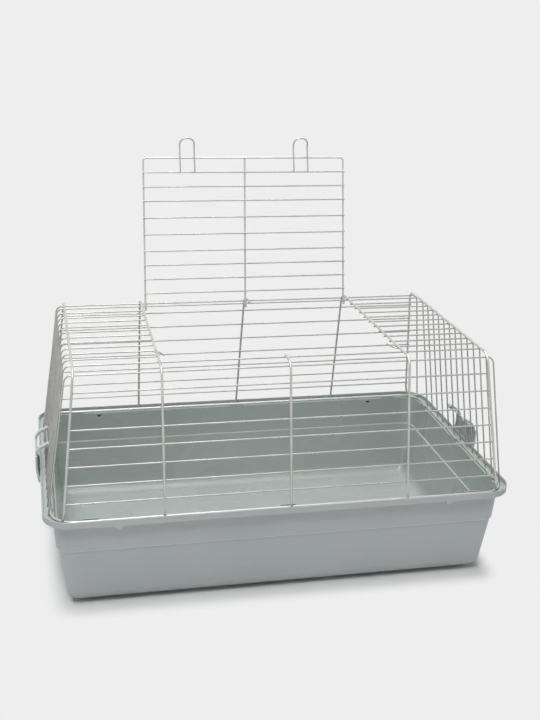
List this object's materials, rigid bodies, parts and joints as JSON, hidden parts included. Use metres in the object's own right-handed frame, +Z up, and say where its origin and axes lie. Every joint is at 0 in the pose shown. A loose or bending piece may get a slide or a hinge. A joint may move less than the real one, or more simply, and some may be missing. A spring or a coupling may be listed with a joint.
{
  "type": "rodent cage",
  "caption": "Small-animal cage: a moulded plastic tray, a welded wire top that lifts off it, a hinged wire door in the roof and plastic clips on the ends.",
  "frame": {"origin": "on the floor under the middle of the tray, which is the bottom centre of the overall box with the door open", "axes": "+X along the cage to the end on the right of the picture, +Y towards the back, where the door is hinged, +Z up"},
  "size_m": [0.6108, 0.366, 0.5356],
  "materials": {
    "tray_plastic": "grey-green moulded plastic with a slight sheen",
    "clip_plastic": "light grey moulded plastic",
    "cage_wire": "silver-grey coated steel wire, spot-welded",
    "door_wire": "silver-grey coated steel wire, spot-welded"
  },
  "bodies": {
    "tray": {"tray": "tray_plastic"},
    "wire_top": {"back_wall_wire_1": "cage_wire", "back_wall_wire_2": "cage_wire", "back_wall_wire_3": "cage_wire", "back_wall_wire_4": "cage_wire", "back_wall_wire_5": "cage_wire", "back_wall_wire_6": "cage_wire", "back_wall_wire_7": "cage_wire", "base_wire": "cage_wire", "clip_pivot_wire_left": "cage_wire", "clip_pivot_wire_right": "cage_wire", "door_rest_left": "cage_wire", "door_rest_right": "cage_wire", "frame_wire_left_end": "cage_wire", "frame_wire_left_of_door": "cage_wire", "frame_wire_middle_back": "cage_wire", "frame_wire_middle_front": "cage_wire", "frame_wire_right_end": "cage_wire", "frame_wire_right_of_door": "cage_wire", "front_wall_wire_1": "cage_wire", "front_wall_wire_2": "cage_wire", "front_wall_wire_3": "cage_wire", "front_wall_wire_4": "cage_wire", "front_wall_wire_5": "cage_wire", "front_wall_wire_6": "cage_wire", "front_wall_wire_7": "cage_wire", "roof_wire_back_edge": "cage_wire", "roof_wire_front_edge": "cage_wire", "roof_wire_hinge": "cage_wire", "roof_wire_left_1": "cage_wire", "roof_wire_left_10": "cage_wire", "roof_wire_left_2": "cage_wire", "roof_wire_left_3": "cage_wire", "roof_wire_left_4": "cage_wire", "roof_wire_left_5": "cage_wire", "roof_wire_left_6": "cage_wire", "roof_wire_left_7": "cage_wire", "roof_wire_left_8": "cage_wire", "roof_wire_left_9": "cage_wire", "roof_wire_opening_front": "cage_wire", "roof_wire_right_1": "cage_wire", "roof_wire_right_10": "cage_wire", "roof_wire_right_2": "cage_wire", "roof_wire_right_3": "cage_wire", "roof_wire_right_4": "cage_wire", "roof_wire_right_5": "cage_wire", "roof_wire_right_6": "cage_wire", "roof_wire_right_7": "cage_wire", "roof_wire_right_8": "cage_wire", "roof_wire_right_9": "cage_wire"},
    "door": {"door_cross_wires": "door_wire", "door_hook_left": "door_wire", "door_hook_right": "door_wire", "door_middle_wire": "door_wire", "door_outline_wire": "door_wire"},
    "clip_left": {"clip_left": "clip_plastic"},
    "clip_right": {"clip_right": "clip_plastic"}
  },
  "joints": [
    {"name": "top_lift", "type": "slide", "parent": "tray", "child": "wire_top", "axis": [0, 0, 1], "range_m": [0, 0.03]},
    {"name": "door_swing", "type": "hinge", "parent": "wire_top", "child": "door", "pos_m": [0, 0.118, 0.3058], "axis": [-1, 0, 0], "range_deg": [-101.2, 60]},
    {"name": "clip_left_swing", "type": "hinge", "parent": "wire_top", "child": "clip_left", "pos_m": [-0.28928, 0, 0.1663], "axis": [0, 1, 0], "range_deg": [0, 60]},
    {"name": "clip_right_swing", "type": "hinge", "parent": "wire_top", "child": "clip_right", "pos_m": [0.28928, 0, 0.1663], "axis": [0, -1, 0], "range_deg": [0, 60]}
  ],
  "couplings": [
    {"joint": "clip_left_swing", "follows": "top_lift", "rad_per_m": 34.907},
    {"joint": "clip_right_swing", "follows": "top_lift", "rad_per_m": 34.907}
  ]
}
